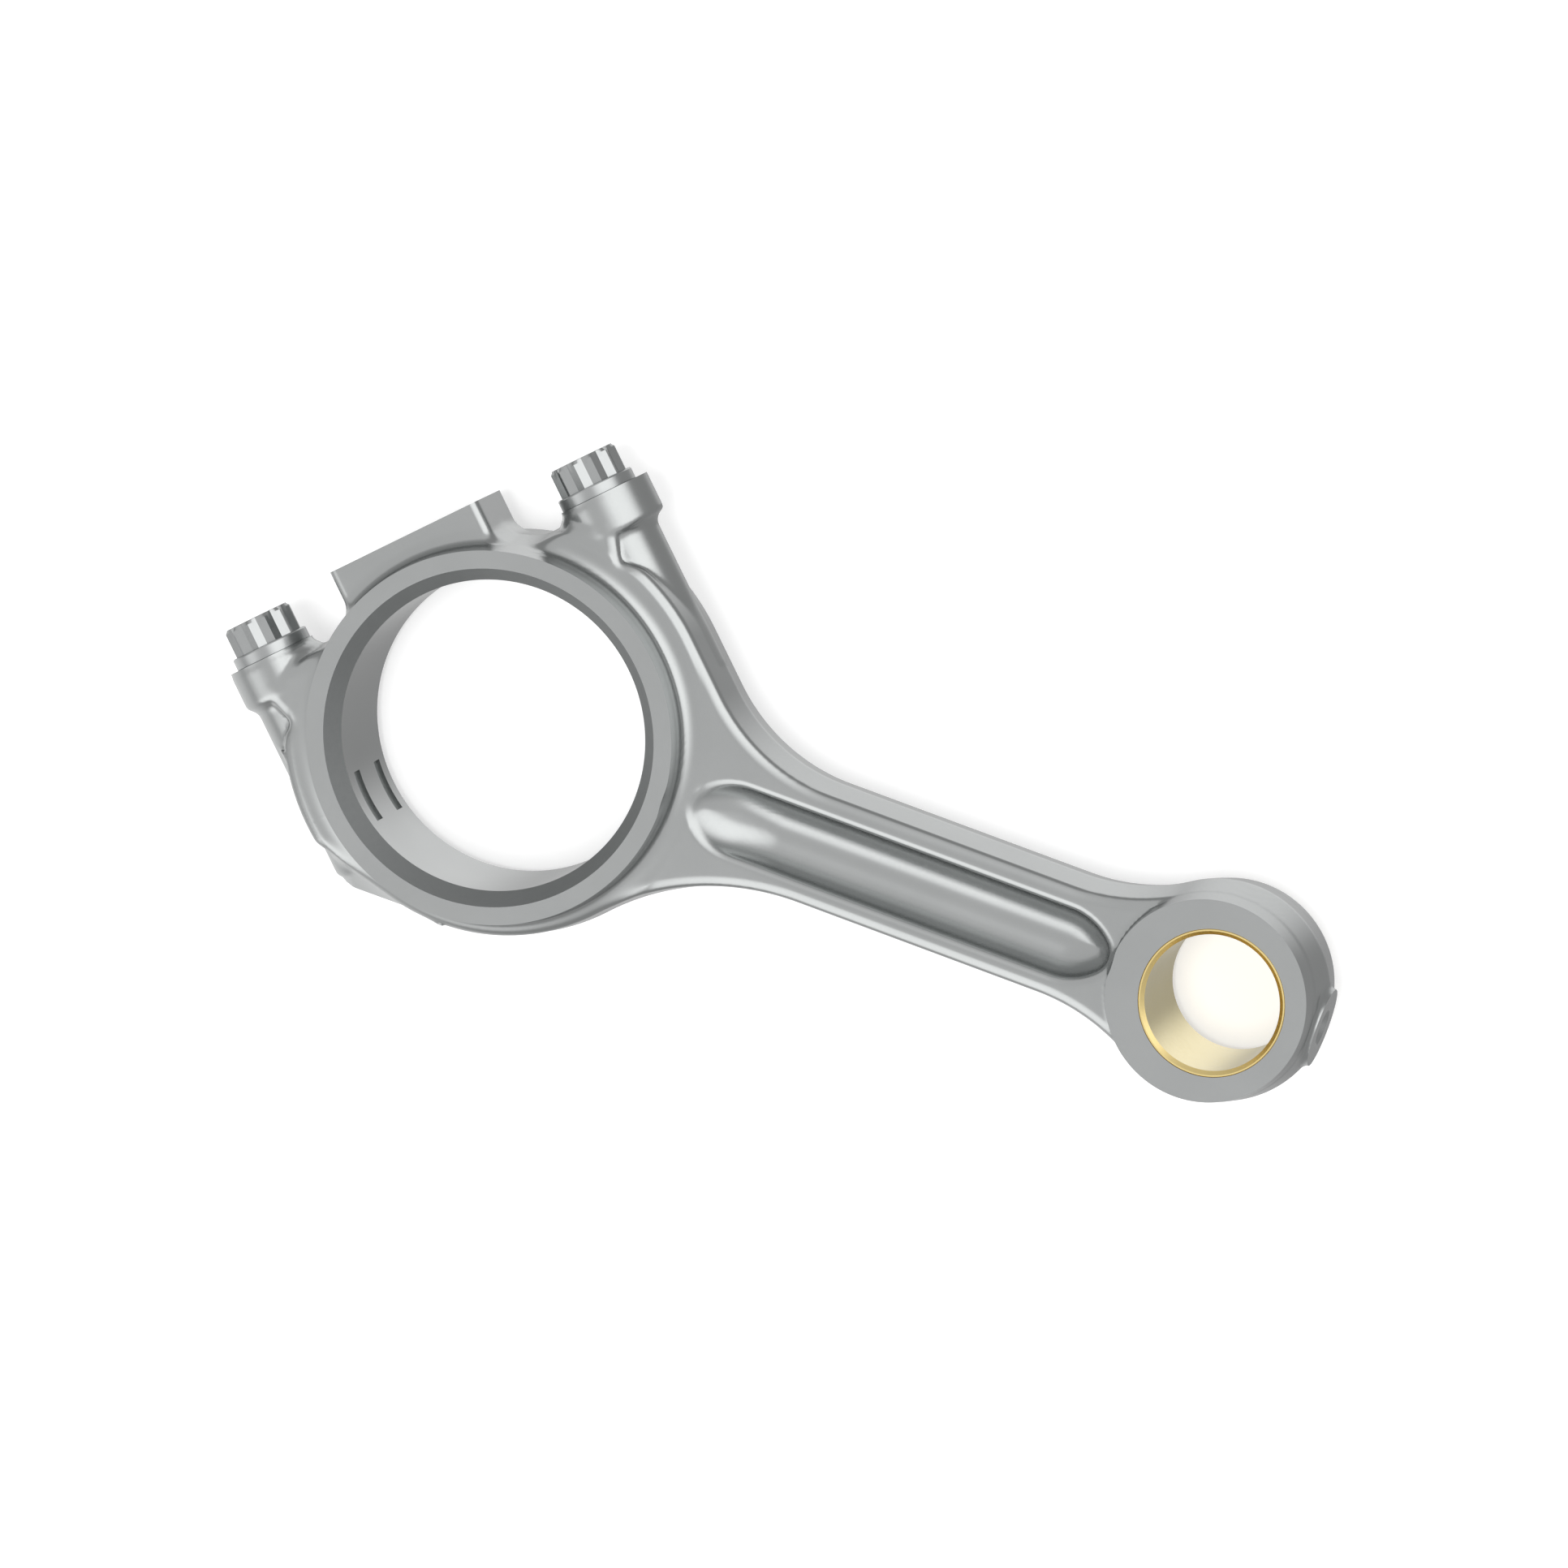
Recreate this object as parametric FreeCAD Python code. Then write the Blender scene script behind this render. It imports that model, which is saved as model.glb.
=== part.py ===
import FreeCAD, Part
import math
import os

V = FreeCAD.Vector

# frame: origin at the big-end bore centre, +X to the small end, +Z along the bores, mm

# big end
CENTRES = 160.0           # big-end to small-end centre distance
BORE_R = 32.5             # housing bore, 65 mm
BORE_CHAMFER_R = 35.3
BORE_STRAIGHT = 13.75     # half length of the straight bore
THRUST_Z = 17.7           # half width over the thrust faces
RING_R = 39.05            # thrust ring outside radius at its face
RING_FOOT_R = 39.4
RING_FOOT_Z = 13.1
RING_FILLET_R = 4.11

# forged plate and shank
PLATE_Z = 10.15           # half thickness of the plate
EDGE_Z = 9.17             # height of the outline edge, below the crowned rim
CROWN = 2.45              # width of the crowned rim
DRAFT = 1.30              # growth of the outline from EDGE_Z to the parting plane
SHANK_Y = 11.75           # half width of the shank at EDGE_Z
UPPER_R = 40.0            # upper neck radius, shank to big end
LOWER_R = 55.0            # lower neck radius
SMALL_NECK_R = 43.0
BODY_R = 46.5             # big-end outline beside the bolt bosses
BELLY_R = 42.3            # big-end outline under the bore

# I-section pocket: height, half width, left end, right end
POCKET = (
    (10.80, 8.70, 40.5, 137.6),
    (10.15, 8.10, 41.1, 137.0),
    (9.55, 7.55, 42.3, 136.5),
    (8.40, 7.05, 44.6, 136.0),
    (6.90, 6.55, 47.7, 135.5),
    (5.50, 5.85, 51.0, 134.7),
    (4.50, 4.95, 54.4, 133.7),
    (3.70, 3.85, 58.2, 132.4),
    (3.25, 2.80, 61.5, 131.1),
    (3.05, 1.70, 65.0, 129.6),
)

# small end
SMALL_X = 158.68          # centre of the forged small-end outline
SMALL_FACE_R = 21.07
SMALL_Z = 14.4            # half width of the small end
SMALL_MID_R = 23.09
BUSH_R = 15.4
BUSH_BORE_R = 14.15
BUSH_CHAMFER = 0.8
TIP_X = 181.3
TIP_R = 8.3
TIP_SINK_R = 4.0
OIL_R = 1.5

# cap, bosses and bolts, in u along the split and v along the bolts
BOLT_U = 39.3
SEAT_V = 35.0
UPPER_BOSS_R = 10.95
LOWER_BOSS_R = 10.0
COLUMN_R = 8.4
STEP_V = (27.2, 24.5)
COLUMN_END_V = -13.6
BOSS_SIDE_U = 39.6
NECK_V = 31.2
NECK_U = 32.2
NECK_R = 3.4
PAD_U = 17.8
PAD_V = 45.0
TANG_HALF_LEN = 5.6
TANG_HALF_WIDTH = 2.1
TANG_DEPTH = 1.4
TANG_Z = (7.3, -7.8)

THREAD_R = 5.0            # M10 x 1.25
TAPPED_R = 5.06
CLEAR_R = 5.35
TIP_V = -11.5
HOLE_V = -12.6
SHANK_R = 4.5
FLANGE_R = 8.35
FLANGE_H = 2.5
HEAD_H = 6.1
HEAD_FLAT = 6.5           # half the 13 mm across the flats

S = math.sqrt(0.5)
SPLIT = FreeCAD.Placement(V(0, 0, 0), FreeCAD.Rotation(V(0, 0, 1), 45))


def polar(c, r, deg):
    a = math.radians(deg)
    return V(c[0] + r * math.cos(a), c[1] + r * math.sin(a), 0)


def outline(arcs, d, z):
    """Closed wire of tangent arcs, given as centre, signed radius and two angles.

    A positive radius is convex and grows with the offset d; a negative one is concave.
    """
    made, ends = [], []
    for c, r, a0, a1 in arcs:
        rr = r + d if r > 0 else -r - d
        p = [polar(c, rr, a) for a in (a0, (a0 + a1) / 2, a1)]
        made.append(Part.Arc(*p).toShape())
        ends.append((p[0], p[2]))
    edges = []
    for i, edge in enumerate(made):
        edges.append(edge)
        a, b = ends[i][1], ends[(i + 1) % len(ends)][0]
        if a.distanceToPoint(b) > 1e-5:
            edges.append(Part.makeLine(a, b))
    wire = Part.Wire(edges)
    wire.translate(V(0, 0, z))
    return wire


def both_sides(half):
    return half.fuse(half.mirror(V(0, 0, 0), V(0, 0, 1))).removeSplitter()


def crowned(arcs, top=PLATE_Z, edge=EDGE_Z, crown=CROWN, draft=DRAFT):
    """Drafted wall from the parting plane to the edge, then a crowned rim."""
    drop = top - edge
    levels = [(draft, 0.0), (0.0, edge)]
    levels += [(-crown * k, edge + drop * (1 - (1 - k) ** 2)) for k in (0.3, 0.62, 1.0)]
    return both_sides(Part.makeLoft([outline(arcs, d, z) for d, z in levels], True, True))


def rod_arcs():
    """Outline at EDGE_Z of the small end, shank and big end, anticlockwise."""
    small_r = SMALL_FACE_R + (SMALL_MID_R - SMALL_FACE_R) * (1 - EDGE_Z / SMALL_Z)
    ny = SHANK_Y + SMALL_NECK_R
    nx = SMALL_X - math.sqrt((small_r + SMALL_NECK_R) ** 2 - ny ** 2)
    fi = math.degrees(math.atan2(ny, nx - SMALL_X))
    ux = BODY_R / S - (SHANK_Y + UPPER_R) + UPPER_R / S
    ly = SHANK_Y + LOWER_R
    lx = math.sqrt((BELLY_R + LOWER_R) ** 2 - ly ** 2)
    la = math.degrees(math.atan2(ly, lx))
    # the corner under the lower bolt and its tangent on to the belly circle
    cr, ca = 3.0, 229.2
    corner = polar((0, 0), BODY_R - cr, ca)
    swing = math.degrees(math.acos((BELLY_R - cr) / (BODY_R - cr)))
    # each boss corner: the body turns in a little, then hollows up towards the boss
    turn, nook, bend, shoulder = 8.0, 1.8, (20, 55), 2.6
    side = polar((0, 0), BODY_R - turn, bend[0])
    hollow = polar(side, turn + nook, bend[1])
    dx, dy = BOSS_SIDE_U - hollow[0], 29.1 - hollow[1]
    lean = math.degrees(math.atan2(dy, dx) - math.acos(-(shoulder + nook) / math.hypot(dx, dy)))
    return [
        ((SMALL_X, 0), small_r, -fi, fi),
        ((nx, ny), -SMALL_NECK_R, fi - 180, -90),
        ((ux, SHANK_Y + UPPER_R), -UPPER_R, -90, -135),
        ((0, 0), BODY_R, 45, 45 + bend[0]),
        (uv(side[0], side[1]), turn, 45 + bend[0], 45 + bend[1]),
        (uv(hollow[0], hollow[1]), -nook, 225 + bend[1], 225 + lean),
        (uv(BOSS_SIDE_U, 29.1), shoulder, 45 + lean, 45),
        (uv(BOSS_SIDE_U, 39.0), shoulder, 45, 135),
        (uv(NECK_U + 3, 39.0), 3.0, 135, 225),
        (uv(NECK_U - NECK_R, NECK_V + NECK_R), -NECK_R, 45, -45),
        (uv(22.0, NECK_V - 4), 4.0, 135, 225),
        (uv(-22.0, NECK_V - 4), 4.0, 45, 135),
        (uv(NECK_R - NECK_U, NECK_V + NECK_R), -NECK_R, -45, -135),
        (uv(-NECK_U - 3, 39.0), 3.0, 45, 135),
        (uv(-BOSS_SIDE_U, 39.0), shoulder, 135, 225),
        (uv(-BOSS_SIDE_U, 29.1), shoulder, 225, 225 - lean),
        (uv(-hollow[0], hollow[1]), -nook, 45 - lean, 45 - bend[1]),
        (uv(-side[0], side[1]), turn, 225 - bend[1], 225 - bend[0]),
        ((0, 0), BODY_R, 225 - bend[0], ca),
        ((corner.x, corner.y), cr, ca, ca + swing),
        ((0, 0), BELLY_R, ca + swing, 360 - la),
        ((lx, -ly), -LOWER_R, 180 - la, 90),
        ((nx, -ny), -SMALL_NECK_R, 90, 180 - fi),
    ]


def uv(u, v):
    return ((u - v) * S, (u + v) * S)


def in_split(shape):
    """Turns a shape drawn with x as u and y as v into the rod's frame."""
    shape.Placement = SPLIT.multiply(shape.Placement)
    return shape


def turned(profile, axis_u):
    """Solid of revolution about a bolt axis from (radius, v) points."""
    pts = [V(r, v, 0) for r, v in profile]
    face = Part.Face(Part.makePolygon(pts + pts[:1]))
    solid = face.revolve(V(0, 0, 0), V(0, 1, 0), 360)
    solid.translate(V(axis_u, 0, 0))
    return in_split(solid)


def revolved_z(profile):
    pts = [V(r, 0, z) for r, z in profile]
    return Part.Face(Part.makePolygon(pts + pts[:1])).revolve(V(0, 0, 0), V(0, 0, 1), 360)


def box_uv(u0, u1, v0, v1, z0, z1):
    return in_split(Part.makeBox(u1 - u0, v1 - v0, z1 - z0, V(u0, v0, z0)))


def concave(r, steps, start, end, centre):
    out = []
    for i in range(steps + 1):
        a = math.radians(start + (end - start) * i / steps)
        out.append((centre[0] + r * math.cos(a), centre[1] + r * math.sin(a)))
    return out


def ring():
    """Thrust ring, with its fillet down on to the plate."""
    c = (RING_FOOT_R + RING_FILLET_R, RING_FOOT_Z)
    low = math.degrees(math.asin((EDGE_Z - RING_FOOT_Z) / RING_FILLET_R))
    arc = Part.Arc(*[V(c[0] + RING_FILLET_R * math.cos(math.radians(a)), 0,
                       c[1] + RING_FILLET_R * math.sin(math.radians(a)))
                     for a in (180, (180 + 180 - low) / 2, 180 - low)]).toShape()
    foot = arc.Vertexes[-1].Point if arc.Vertexes[-1].Point.z < RING_FOOT_Z else arc.Vertexes[0].Point
    corners = [V(foot.x, 0, foot.z), V(30, 0, foot.z), V(30, 0, THRUST_Z), V(RING_R, 0, THRUST_Z),
               V(RING_FOOT_R, 0, RING_FOOT_Z)]
    edges = [Part.makeLine(a, b) for a, b in zip(corners, corners[1:])] + [arc]
    flare = Part.Face(Part.Wire(edges)).revolve(V(0, 0, 0), V(0, 0, 1), 360)
    plain = Part.makeCylinder(RING_R + 0.15, 2 * RING_FOOT_Z, V(0, 0, -RING_FOOT_Z))
    top = Part.makeCone(RING_R + 0.15, RING_R, THRUST_Z - RING_FOOT_Z, V(0, 0, RING_FOOT_Z))
    return flare, both_sides(plain.fuse(top))


def pad_outline(d, top):
    """Cap pad seen along the bore: straight sides that curve out on to the ring."""
    r = 3.2
    half = PAD_U + d
    cy = math.sqrt((RING_R + r) ** 2 - (half + r) ** 2)
    a = math.degrees(math.atan2(cy, half + r))
    right = Part.Arc(V(half, cy, 0), polar((half + r, cy), r, 180 + a / 2),
                     polar((half + r, cy), r, 180 + a)).toShape()
    left = Part.Arc(V(-half, cy, 0), polar((-half - r, cy), r, -a / 2),
                    polar((-half - r, cy), r, -a)).toShape()
    foot = polar((half + r, cy), r, 180 + a)
    pts = [V(half, cy, 0), V(half, top, 0), V(-half, top, 0), V(-half, cy, 0)]
    low = [V(-foot.x, foot.y, 0), V(-foot.x, 20, 0), V(foot.x, 20, 0), foot]
    edges = [Part.makeLine(a, b) for a, b in zip(pts, pts[1:])] + [left]
    edges += [Part.makeLine(a, b) for a, b in zip(low, low[1:])] + [right]
    return Part.Wire(Part.__sortEdges__(edges))


def pad():
    face = Part.Face(pad_outline(0, PAD_V))
    solid = face.extrude(V(0, 0, 2 * PLATE_Z))
    solid.translate(V(0, 0, -PLATE_Z))
    edges = [e for e in solid.Edges
             if abs(abs(e.BoundBox.ZMin) - PLATE_Z) < 1e-6 and e.BoundBox.ZLength < 1e-6
             and e.BoundBox.YMax > 35 and e.BoundBox.XLength < 8]
    return in_split(solid.makeFillet(1.8, edges))


def boss(axis_u, r, end):
    """Outer side of a bolt boss: seat barrel, hollow step, and column down past the split.

    The barrel is no higher than the plate, which forms the side towards the bore."""
    drop = r - COLUMN_R
    top, low = STEP_V
    step = [(COLUMN_R + drop * (1 - math.sqrt(max(0.0, 1 - k * k))), low + (top - low) * k)
            for k in (0.0, 0.35, 0.65, 0.87, 1.0)]
    tail = concave(2.2, 4, 0, -90, (COLUMN_R - 2.2, end + 2.2))
    solid = turned([(0, end)] + tail[::-1] + step + [(r, SEAT_V), (0, SEAT_V)], axis_u)
    inner = math.sqrt(max(0.0, r * r - PLATE_Z ** 2)) + 0.25
    a, b = (-inner, 20.0) if axis_u > 0 else (-20.0, inner)
    return solid.common(box_uv(axis_u + a, axis_u + b, end - 1, SEAT_V + 1, -PLATE_Z, PLATE_Z))


def toe():
    """Wedge of the forging under the lower bolt column, drafted more than the rest."""
    def section(z, pts):
        return Part.makePolygon([V(x, y, z) for x, y in pts + pts[:1]])
    low = section(0, [(-22.6, -44.2), (-2.0, -43.75), (6.0, -30.0), (-30.0, -30.0), (-25.5, -42.2)])
    top = section(EDGE_Z, [(-27.0, -36.6), (-4.0, -41.8), (6.0, -30.0), (-30.0, -30.0),
                           (-29.0, -35.4)])
    return both_sides(Part.makeLoft([low, top], True, True))


def small_end():
    cone = Part.makeCone(SMALL_MID_R, SMALL_FACE_R, SMALL_Z, V(SMALL_X, 0, 0))
    barrel = both_sides(cone)
    tip = Part.makeCylinder(TIP_R, TIP_X - 170, V(170, 0, 0), V(1, 0, 0))
    tip = tip.makeFillet(0.4, [e for e in tip.Edges if abs(e.BoundBox.XMin - TIP_X) < 1e-6])
    return barrel.fuse(tip)


def pocket():
    """Recess of the I-section: one long cut that shoals towards the big end."""
    def section(z, w, x0, x1):
        # each end is a nose arc tangent to two side arcs, all in proportion to the width
        def end(side, reach):
            side, reach = side * w, reach * w
            b = side - w
            r = (side ** 2 - reach ** 2 - b ** 2) / (2 * (side - reach))
            return side, reach, r, math.degrees(math.atan2(b, reach - r))
        sl, al, lr, la = end(2.47, 1.70)
        sr, ar, rr, ra = end(1.70, 1.42)
        return outline([
            ((x1 - rr, 0), rr, -ra, ra), ((x1 - ar, w - sr), sr, ra, 90),
            ((x0 + al, w - sl), sl, 90, 180 - la), ((x0 + lr, 0), lr, 180 - la, 180 + la),
            ((x0 + al, sl - w), sl, 180 + la, 270), ((x1 - ar, sr - w), sr, 270, 360 - ra),
        ], 0, z)
    cut = Part.makeLoft([section(*row) for row in POCKET], True, False)
    return [cut, cut.mirror(V(0, 0, 0), V(0, 0, 1))]


def forging():
    """The whole forging before the cap is split off."""
    plate = crowned(rod_arcs())
    flare, plain = ring()
    reach = Part.Face(outline(rod_arcs(), -0.3, 0)).extrude(V(0, 0, 30))
    reach = reach.fuse(in_split(Part.Face(pad_outline(0, 42)).extrude(V(0, 0, 30))))
    flare = both_sides(flare.common(reach))
    body = plate.fuse([plain, flare, pad(), toe(), small_end(),
                       boss(BOLT_U, UPPER_BOSS_R, -9.0), boss(-BOLT_U, LOWER_BOSS_R, COLUMN_END_V)])
    over = [box_uv(s * 40 - 15, s * 40 + 15, SEAT_V, 60, -20, 20) for s in (-1, 1)]
    return body.cut(over + pocket() + machining()).removeSplitter()


def machining():
    bore = revolved_z([(0, -THRUST_Z - 1), (BORE_CHAMFER_R + 0.71, -THRUST_Z - 1),
                       (BORE_R, -BORE_STRAIGHT), (BORE_R, BORE_STRAIGHT),
                       (BORE_CHAMFER_R + 0.71, THRUST_Z + 1), (0, THRUST_Z + 1)])
    small = Part.makeCylinder(BUSH_R, 60, V(CENTRES, 0, -30))
    sink = Part.makeCone(0, TIP_SINK_R + 1, TIP_SINK_R + 1, V(TIP_X - TIP_SINK_R, 0, 0), V(1, 0, 0))
    oil = Part.makeCylinder(OIL_R, 30, V(CENTRES + 10, 0, 0), V(1, 0, 0))
    tools = [bore, small, sink, oil]
    for z in TANG_Z:
        disc = Part.makeCylinder(BORE_R + TANG_DEPTH, 2 * TANG_HALF_WIDTH, V(0, 0, z - TANG_HALF_WIDTH))
        tools.append(disc.common(box_uv(-40, -10, -TANG_HALF_LEN, TANG_HALF_LEN, -20, 20)))
    for s in (-1, 1):
        tools.append(turned([(0, 0), (CLEAR_R, 0), (CLEAR_R, 40), (0, 40)], s * BOLT_U))
        tools.append(turned([(0, HOLE_V - 0.6 * TAPPED_R), (TAPPED_R, HOLE_V), (TAPPED_R, 0.0), (0, 0.0)],
                            s * BOLT_U))
    return tools


def bolt(axis_u):
    """Twelve-point flange bolt with a necked shank and plain-turned thread crests."""
    top = SEAT_V + FLANGE_H
    stem = turned([(0, TIP_V), (THREAD_R - 1.1, TIP_V), (THREAD_R, TIP_V + 1.1), (THREAD_R, 3.0),
                   (SHANK_R, 4.2), (SHANK_R, SEAT_V - 3.5), (THREAD_R, SEAT_V - 2.5),
                   (THREAD_R, SEAT_V), (FLANGE_R, SEAT_V), (FLANGE_R, top - 0.5),
                   (FLANGE_R - 0.5, top), (0, top)], axis_u)
    inner, outer = HEAD_FLAT / math.cos(math.radians(15)), HEAD_FLAT / math.cos(math.radians(30))
    pts = [V(r * math.cos(math.radians(15 * k)), 0, r * math.sin(math.radians(15 * k)))
           for k, r in enumerate([outer, inner] * 12)]
    head = Part.Face(Part.makePolygon(pts + pts[:1])).extrude(V(0, HEAD_H, 0))
    head.translate(V(axis_u, top, 0))
    crown = turned([(0, top), (outer, top), (outer, top + HEAD_H - 0.7),
                    (outer - 0.9, top + HEAD_H), (0, top + HEAD_H)], axis_u)
    return stem.fuse(in_split(head).common(crown)).removeSplitter()


def bush():
    c = BUSH_CHAMFER
    tube = revolved_z([(BUSH_BORE_R, -SMALL_Z + c), (BUSH_BORE_R + c, -SMALL_Z), (BUSH_R, -SMALL_Z),
                       (BUSH_R, SMALL_Z), (BUSH_BORE_R + c, SMALL_Z), (BUSH_BORE_R, SMALL_Z - c)])
    tube.translate(V(CENTRES, 0, 0))
    return tube.cut(Part.makeCylinder(OIL_R, 30, V(CENTRES + 5, 0, 0), V(1, 0, 0)))


def main():
    whole = forging()
    far = 300
    pieces = {
        "rod_body": whole.common(box_uv(-far, far, -far, 0, -40, 40)),
        "bearing_cap": whole.common(box_uv(-far, far, 0, far, -40, 40)),
        "upper_cap_bolt": bolt(BOLT_U),
        "lower_cap_bolt": bolt(-BOLT_U),
        "small_end_bush": bush(),
    }
    os.makedirs("parts", exist_ok=True)
    for name, shape in pieces.items():
        if len(shape.Solids) != 1:
            raise ValueError("%s has %d solids" % (name, len(shape.Solids)))
        shape = shape.Solids[0]
        if not shape.isValid():
            raise ValueError("%s is not valid" % name)
        shape.exportStep("parts/%s.step" % name)


main()
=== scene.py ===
import math

import bpy
import numpy as np
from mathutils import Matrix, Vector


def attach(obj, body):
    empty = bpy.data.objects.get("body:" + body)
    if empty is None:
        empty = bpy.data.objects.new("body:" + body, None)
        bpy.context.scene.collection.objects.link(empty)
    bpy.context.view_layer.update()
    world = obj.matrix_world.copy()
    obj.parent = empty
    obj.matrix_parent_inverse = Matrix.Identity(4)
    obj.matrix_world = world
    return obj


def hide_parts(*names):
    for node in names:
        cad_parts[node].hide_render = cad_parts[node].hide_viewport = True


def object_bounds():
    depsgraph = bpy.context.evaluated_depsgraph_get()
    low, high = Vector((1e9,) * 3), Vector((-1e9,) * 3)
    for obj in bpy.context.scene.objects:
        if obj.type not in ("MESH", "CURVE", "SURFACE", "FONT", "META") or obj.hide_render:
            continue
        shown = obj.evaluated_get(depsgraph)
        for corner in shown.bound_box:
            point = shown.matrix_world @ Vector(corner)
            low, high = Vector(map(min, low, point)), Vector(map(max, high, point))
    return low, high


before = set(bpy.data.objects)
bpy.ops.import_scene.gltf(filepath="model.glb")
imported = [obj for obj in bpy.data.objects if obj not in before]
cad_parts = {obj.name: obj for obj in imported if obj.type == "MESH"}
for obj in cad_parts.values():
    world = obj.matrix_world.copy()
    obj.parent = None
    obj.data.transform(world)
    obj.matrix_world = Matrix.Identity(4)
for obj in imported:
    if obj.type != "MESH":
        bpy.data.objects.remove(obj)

import openvdb
from mathutils import Matrix, Vector

CAD_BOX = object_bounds()
MM = 0.001

# Driving dimensions in millimetres. x runs to the small end, z along the bores.
# u runs along the cap's split line and v along the bolts, both in the xy plane.
CENTRES = 160.0
BORE_R, BORE_CHAMFER_R, BORE_STRAIGHT = 32.5, 35.3, 13.75
THRUST_Z, RING_R, RING_FOOT_R, RING_FOOT_Z, RING_FILLET_R = 17.7, 39.05, 39.4, 13.1, 4.11
PLATE_Z, EDGE_Z, CROWN, DRAFT = 10.15, 9.17, 2.45, 1.30
SHANK_Y, UPPER_R, LOWER_R, SMALL_NECK_R = 11.75, 40.0, 55.0, 43.0
BODY_R, BELLY_R = 46.5, 42.3
SMALL_X, SMALL_FACE_R, SMALL_MID_R, SMALL_Z = 158.68, 21.07, 23.09, 14.4
BUSH_R, BUSH_BORE_R, BUSH_CHAMFER, BUSH_EDGE = 15.4, 14.15, 0.8, 0.15
TIP_X, TIP_R, TIP_SINK_R, OIL_R = 181.3, 8.3, 4.0, 1.5
POCKET_Y, POCKET_X0, POCKET_X1, WEB_Z, POCKET_FILLET = 8.1, 40.9, 137.0, 3.05, 5.0
BOLT_U, SEAT_V, UPPER_BOSS_R, LOWER_BOSS_R, COLUMN_R = 39.3, 35.0, 10.95, 10.0, 8.4
UPPER_COLUMN_V, LOWER_COLUMN_V, STEP_V = -9.0, -13.6, 26.7
BOSS_SIDE_U, BOSS_INNER_R, NECK_V, NECK_FILLET = 39.6, 8.6, 31.2, 2.7
PAD_U, PAD_V, PAD_FOOT_V = 17.8, 45.0, 20.0
TANG_HALF_LEN, TANG_HALF_WIDTH, TANG_DEPTH, TANG_Z = 5.6, 2.1, 1.4, (7.3, -7.8)
TAPPED_R, CLEAR_R, HOLE_V = 5.06, 5.35, -12.6
THREAD_R, THREAD_PITCH, THREAD_DEPTH, THREAD_END_V = 5.0, 1.25, 0.77, 3.4
TIP_V, TIP_TAPER, STEM_R = -11.5, 1.25, 4.5
FLANGE_R, FLANGE_H, HEAD_H, HEAD_FLAT, HEAD_DISH = 8.35, 2.5, 6.1, 6.5, 0.35

# Fillets and rounded edges of the forging, and the slopes of its drafted walls.
RIM_ROUND, POCKET_ROUND = 0.35, 1.1
FOOT_ROUND, FOOT_FILLET, RING_FILLET, PAD_ROUND, PAD_FILLET = 1.0, 0.5, 1.7, 1.8, 2.6
BARREL_ROUND, COLUMN_ROUND, STEP_FILLET, BOSS_FILLET = 0.9, 2.2, 2.6, 0.3
TOE_ROUND, TOE_FILLET, TIP_FILLET, SMALL_FILLET = 1.6, 0.2, 1.4, 0.3
RING_SLOPE, SMALL_SLOPE, POCKET_SLOPE = 0.076, 0.1403, 0.30

# The toe wedge: x, y and slope of its edge at mid-height and at EDGE_Z, its side's u and
# slope, and the cosines of the two drafted walls.
TOE_MID_EDGE, TOE_TOP_EDGE = (-22.6, -44.2, 0.0218), (-27.0, -36.6, -0.226)
TOE_SIDE_U, TOE_SIDE_SLOPE, TOE_WALL_COS, TOE_SIDE_COS = -47.4, 0.34, 0.93, 0.95

STOCK = 1.5         # metal the forging carries on every face that is machined
PAST = 1.0          # how far a cutter runs past the face it breaks through
ABOVE = 25          # height of the big end's cutters, outside the forging
SMALL_ABOVE = 22    # the same for the cutters of the small end
THROUGH = 30        # half-height of the cutters that go right through
BEYOND = 60         # length of the cutters across the cap, outside the forging

# Tent brightness, then each panel's direction, outer and inner half-angle and added brightness.
TENT_LEVEL = 0.42
TENT_PANELS = [
    ((0, 0, 1), 90, 62, 0.38),
    ((0.51, 0.47, 0.72), 44, 10, 1.02),
    ((-0.18, -0.78, 0.60), 36, 8, 0.95),
    ((-0.12, 0.48, -0.87), 34, 6, 0.66),
    ((-0.56, -0.60, -0.57), 52, 10, 0.56),
]
FLOOR_GREY, FLOOR_GLOW, FLOOR_HALF = 0.66, 0.45, 4.0
SUN_POWER, SUN_SPREAD = 1.4, 20

PITCH = 0.52     # grid spacing of the forging's field
FORGED_CREASE, BOLT_CREASE = 32, 20     # edges sharper than this many degrees stay crisp
S = math.sqrt(0.5)
TO_SPLIT = Matrix.Rotation(math.radians(45), 4, "Z")


# ---------------------------------------------------------------- outlines

def uv(u, v):
    """Point in x and y from its place along the split and along the bolts."""
    return ((u - v) * S, (u + v) * S)


def polar(c, r, deg):
    """Point at radius r and an angle in degrees round the centre c."""
    return (c[0] + r * math.cos(math.radians(deg)), c[1] + r * math.sin(math.radians(deg)))


def traced(arcs):
    """Closed polygon through arcs given as centre, signed radius and two angles."""
    step, pts = 0.8, []
    for c, r, a0, a1 in arcs:
        n = max(3, int(abs(math.radians(a1 - a0) * r) / step))
        pts += [polar(c, abs(r), a0 + (a1 - a0) * i / n) for i in range(n + 1)]
    return np.array(pts)


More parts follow.
